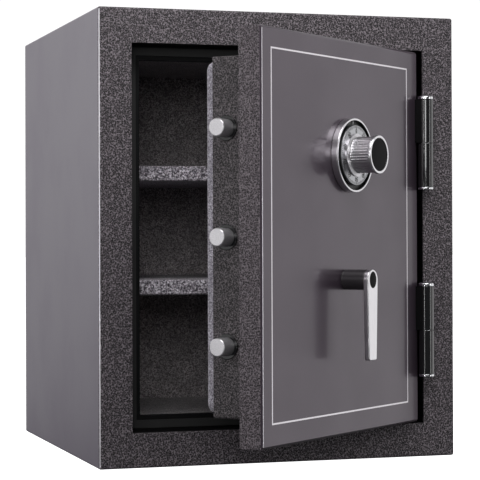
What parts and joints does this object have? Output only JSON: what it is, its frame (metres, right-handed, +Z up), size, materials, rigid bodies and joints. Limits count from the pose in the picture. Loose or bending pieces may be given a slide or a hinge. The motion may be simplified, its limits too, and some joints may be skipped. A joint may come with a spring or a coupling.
{
  "type": "fire safe with combination lock",
  "caption": "Small steel safe with a swinging plug door, combination dial, lever handle, sliding bolts, exposed hinges and carpeted shelves, shown part open.",
  "frame": {"origin": "centre of the cabinet's flat base", "axes": "+Z up, -Y out through the closed door's front, +X to the right as seen from the front, where the hinges are"},
  "size_m": [0.57, 0.8752, 0.686],
  "materials": {
    "body_paint": "hammertone grey",
    "door_paint": "smooth grey gloss",
    "black_paint": "satin black",
    "fire_fill": "cast, dry",
    "carpet": "short grey pile",
    "seal_rubber": "matt",
    "zinc_steel": "zinc plated",
    "chrome": "bright",
    "satin_steel": "satin chrome",
    "tool_steel": "hardened, dark",
    "lock_brass": "machined",
    "black_plastic": "gloss black"
  },
  "bodies": {
    "cabinet": {"body_shell": "body_paint", "rear_panel": "body_paint", "door_jamb": "black_paint", "inner_liner": "black_paint", "fire_insulation": "fire_fill", "carpet_lining": "carpet", "door_seal": "seal_rubber", "shelf_standard_left_front": "zinc_steel", "shelf_standard_left_rear": "zinc_steel", "shelf_standard_right_front": "zinc_steel", "shelf_standard_right_rear": "zinc_steel", "shelf_bracket_lower_left": "zinc_steel", "shelf_bracket_lower_right": "zinc_steel", "shelf_bracket_upper_left": "zinc_steel", "shelf_bracket_upper_right": "zinc_steel", "hinge_upper_body_knuckle": "black_paint", "hinge_upper_pin": "chrome", "hinge_upper_cap": "chrome", "hinge_lower_body_knuckle": "black_paint", "hinge_lower_pin": "chrome", "hinge_lower_cap": "chrome"},
    "door": {"door_skin": "door_paint", "door_insulation": "fire_fill", "door_back_plate": "black_paint", "hard_plate": "tool_steel", "plug_frame": "body_paint", "rear_cover": "carpet", "bolt_bush_1": "black_plastic", "bolt_bush_2": "black_plastic", "bolt_bush_3": "black_plastic", "dead_bolt_1": "satin_steel", "dead_bolt_2": "satin_steel", "dead_bolt_3": "satin_steel", "guide_stud_upper": "zinc_steel", "guide_stud_lower": "zinc_steel", "dial_ring": "chrome", "lock_case": "zinc_steel", "hinge_upper_door_knuckle": "black_paint", "hinge_lower_door_knuckle": "black_paint"},
    "bolts": {"live_bolt_1": "satin_steel", "live_bolt_2": "satin_steel", "live_bolt_3": "satin_steel", "bolt_carrier": "zinc_steel", "lock_wedge": "zinc_steel"},
    "handle": {"handle_lever": "satin_steel", "handle_neck": "black_plastic", "handle_cap": "black_plastic", "handle_spindle": "tool_steel", "handle_cam": "zinc_steel"},
    "dial": {"dial_disc": "chrome", "dial_knob": "satin_steel", "knob_cap": "black_plastic", "dial_spindle": "lock_brass", "drive_cam": "lock_brass"},
    "wheel_pack": {"wheel_1": "lock_brass", "wheel_2": "lock_brass", "wheel_3": "lock_brass"},
    "lock_bolt": {"lock_bolt": "lock_brass"},
    "upper_shelf": {"shelf_upper": "carpet"},
    "lower_shelf": {"shelf_lower": "carpet"}
  },
  "joints": [
    {"name": "door_swing", "type": "hinge", "parent": "cabinet", "child": "door", "pos_m": [0.2334, -0.3002, 0.343], "axis": [0, 0, 1], "range_deg": [-40, 90]},
    {"name": "handle_turn", "type": "hinge", "parent": "door", "child": "handle", "pos_m": [0.04644, -0.4405, 0.281], "axis": [-0.6428, 0.766, 0], "range_deg": [0, 80]},
    {"name": "bolt_slide", "type": "slide", "parent": "door", "child": "bolts", "axis": [0.766, 0.6428, 0], "range_m": [0, 0.025]},
    {"name": "lock_bolt_slide", "type": "slide", "parent": "door", "child": "lock_bolt", "axis": [0, 0, 1], "range_m": [0, 0.008]},
    {"name": "dial_turn", "type": "hinge", "parent": "door", "child": "dial", "pos_m": [0.0564, -0.43214, 0.4618], "axis": [-0.6428, 0.766, 0], "continuous": true},
    {"name": "wheel_turn", "type": "hinge", "parent": "door", "child": "wheel_pack", "pos_m": [0.02555, -0.39537, 0.4618], "axis": [-0.6428, 0.766, 0], "continuous": true},
    {"name": "upper_shelf_lift", "type": "slide", "parent": "cabinet", "child": "upper_shelf", "axis": [0, 0, 1], "range_m": [0, 0.01]},
    {"name": "lower_shelf_lift", "type": "slide", "parent": "cabinet", "child": "lower_shelf", "axis": [0, 0, 1], "range_m": [0, 0.01]}
  ],
  "couplings": [
    {"joint": "bolt_slide", "follows": "handle_turn", "m_per_rad": 0.017905},
    {"joint": "lock_bolt_slide", "follows": "handle_turn", "m_per_rad": 0.0057295},
    {"joint": "wheel_turn", "follows": "dial_turn", "ratio": 1}
  ]
}
